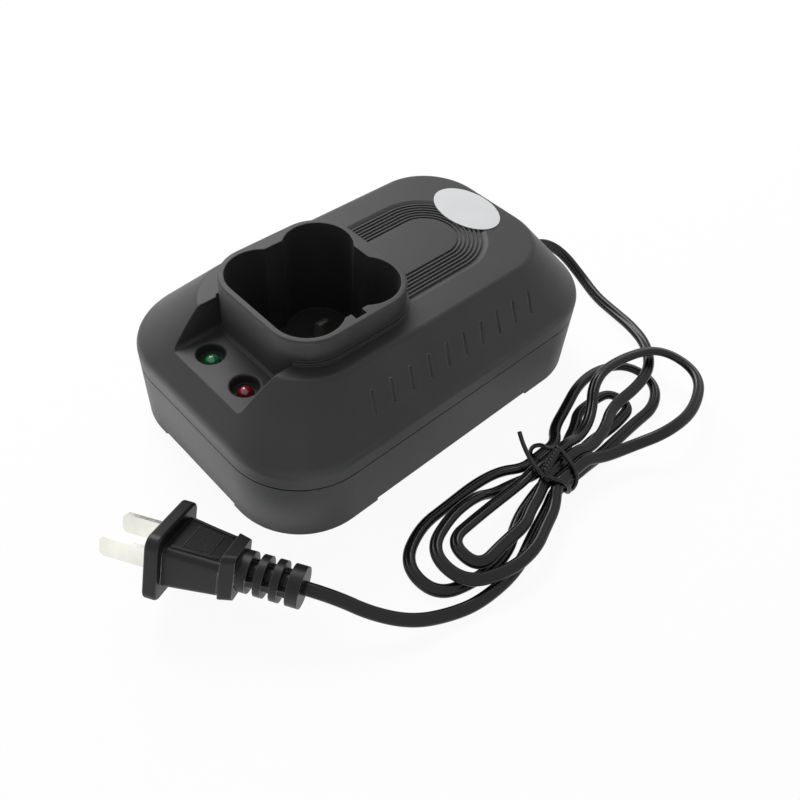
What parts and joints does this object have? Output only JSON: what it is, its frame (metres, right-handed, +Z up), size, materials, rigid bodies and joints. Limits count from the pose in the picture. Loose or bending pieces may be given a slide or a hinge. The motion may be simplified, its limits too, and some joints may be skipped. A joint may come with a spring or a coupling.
{
  "type": "battery charger",
  "caption": "Desktop lithium battery charger with a stem-pack pocket in a square collar, status lights, and a tied mains lead with a flat-blade plug.",
  "frame": {"origin": "centre of the charger's footprint, on the surface it stands on", "axes": "+X along the charger's length from the lights to the mains cord, +Y across it away from the plug and hank, +Z up out of the battery pocket"},
  "size_m": [0.2206, 0.1453, 0.0564],
  "materials": {
    "housing": "fine matte moulded plastic",
    "contact_block": "matte",
    "contact": "plated spring brass",
    "led_green": "clear tinted epoxy",
    "led_red": "clear tinted epoxy",
    "board": "phenolic paper board",
    "screw": "zinc plated",
    "ferrite": "sintered, dull",
    "bobbin": "matte",
    "winding": "taped winding",
    "capacitor": "shrink sleeve",
    "filter_capacitor": "moulded box",
    "fuse": "moulded",
    "chip": "epoxy",
    "heat_sink": "bare sheet",
    "label": "bare white paper",
    "wire": "insulated wire",
    "plug": "satin moulded",
    "blade": "nickel plated",
    "cord": "glossy black sleeve",
    "tie": "coated wire"
  },
  "bodies": {
    "charger": {"board_screws": "screw", "bridge_rectifier": "chip", "contact_block": "contact_block", "contact_block_screws": "screw", "contact_wires": "wire", "control_chip": "chip", "cord_hank": "cord", "cord_lead_charger": "cord", "cord_lead_plug": "cord", "filter_capacitor": "filter_capacitor", "filter_choke": "ferrite", "fuse": "fuse", "heat_sink": "heat_sink", "housing_screws": "screw", "input_capacitor": "capacitor", "led_green": "led_green", "led_red": "led_red", "light_board": "board", "light_board_screws": "screw", "light_wires": "wire", "lower_housing": "housing", "main_board": "board", "mains_wires": "wire", "output_capacitors": "capacitor", "paper_label": "label", "plug_blade_far": "blade", "plug_blade_near": "blade", "plug_body": "plug", "strain_relief": "cord", "switching_transistor": "chip", "transformer_bobbin": "bobbin", "transformer_core": "ferrite", "transformer_winding": "winding", "twist_tie": "tie", "upper_housing": "housing"},
    "positive_contact": {"contact_positive": "contact"},
    "negative_contact": {"contact_negative": "contact"}
  },
  "joints": [
    {"name": "positive_flex", "type": "hinge", "parent": "charger", "child": "positive_contact", "pos_m": [-0.01775, 0.0045, 0.01615], "axis": [-1, 0, 0], "range_deg": [0, 5], "stiffness_Nm_per_rad": 0.12},
    {"name": "negative_flex", "type": "hinge", "parent": "charger", "child": "negative_contact", "pos_m": [-0.01775, -0.0045, 0.01615], "axis": [-1, 0, 0], "range_deg": [0, 5], "stiffness_Nm_per_rad": 0.12}
  ]
}
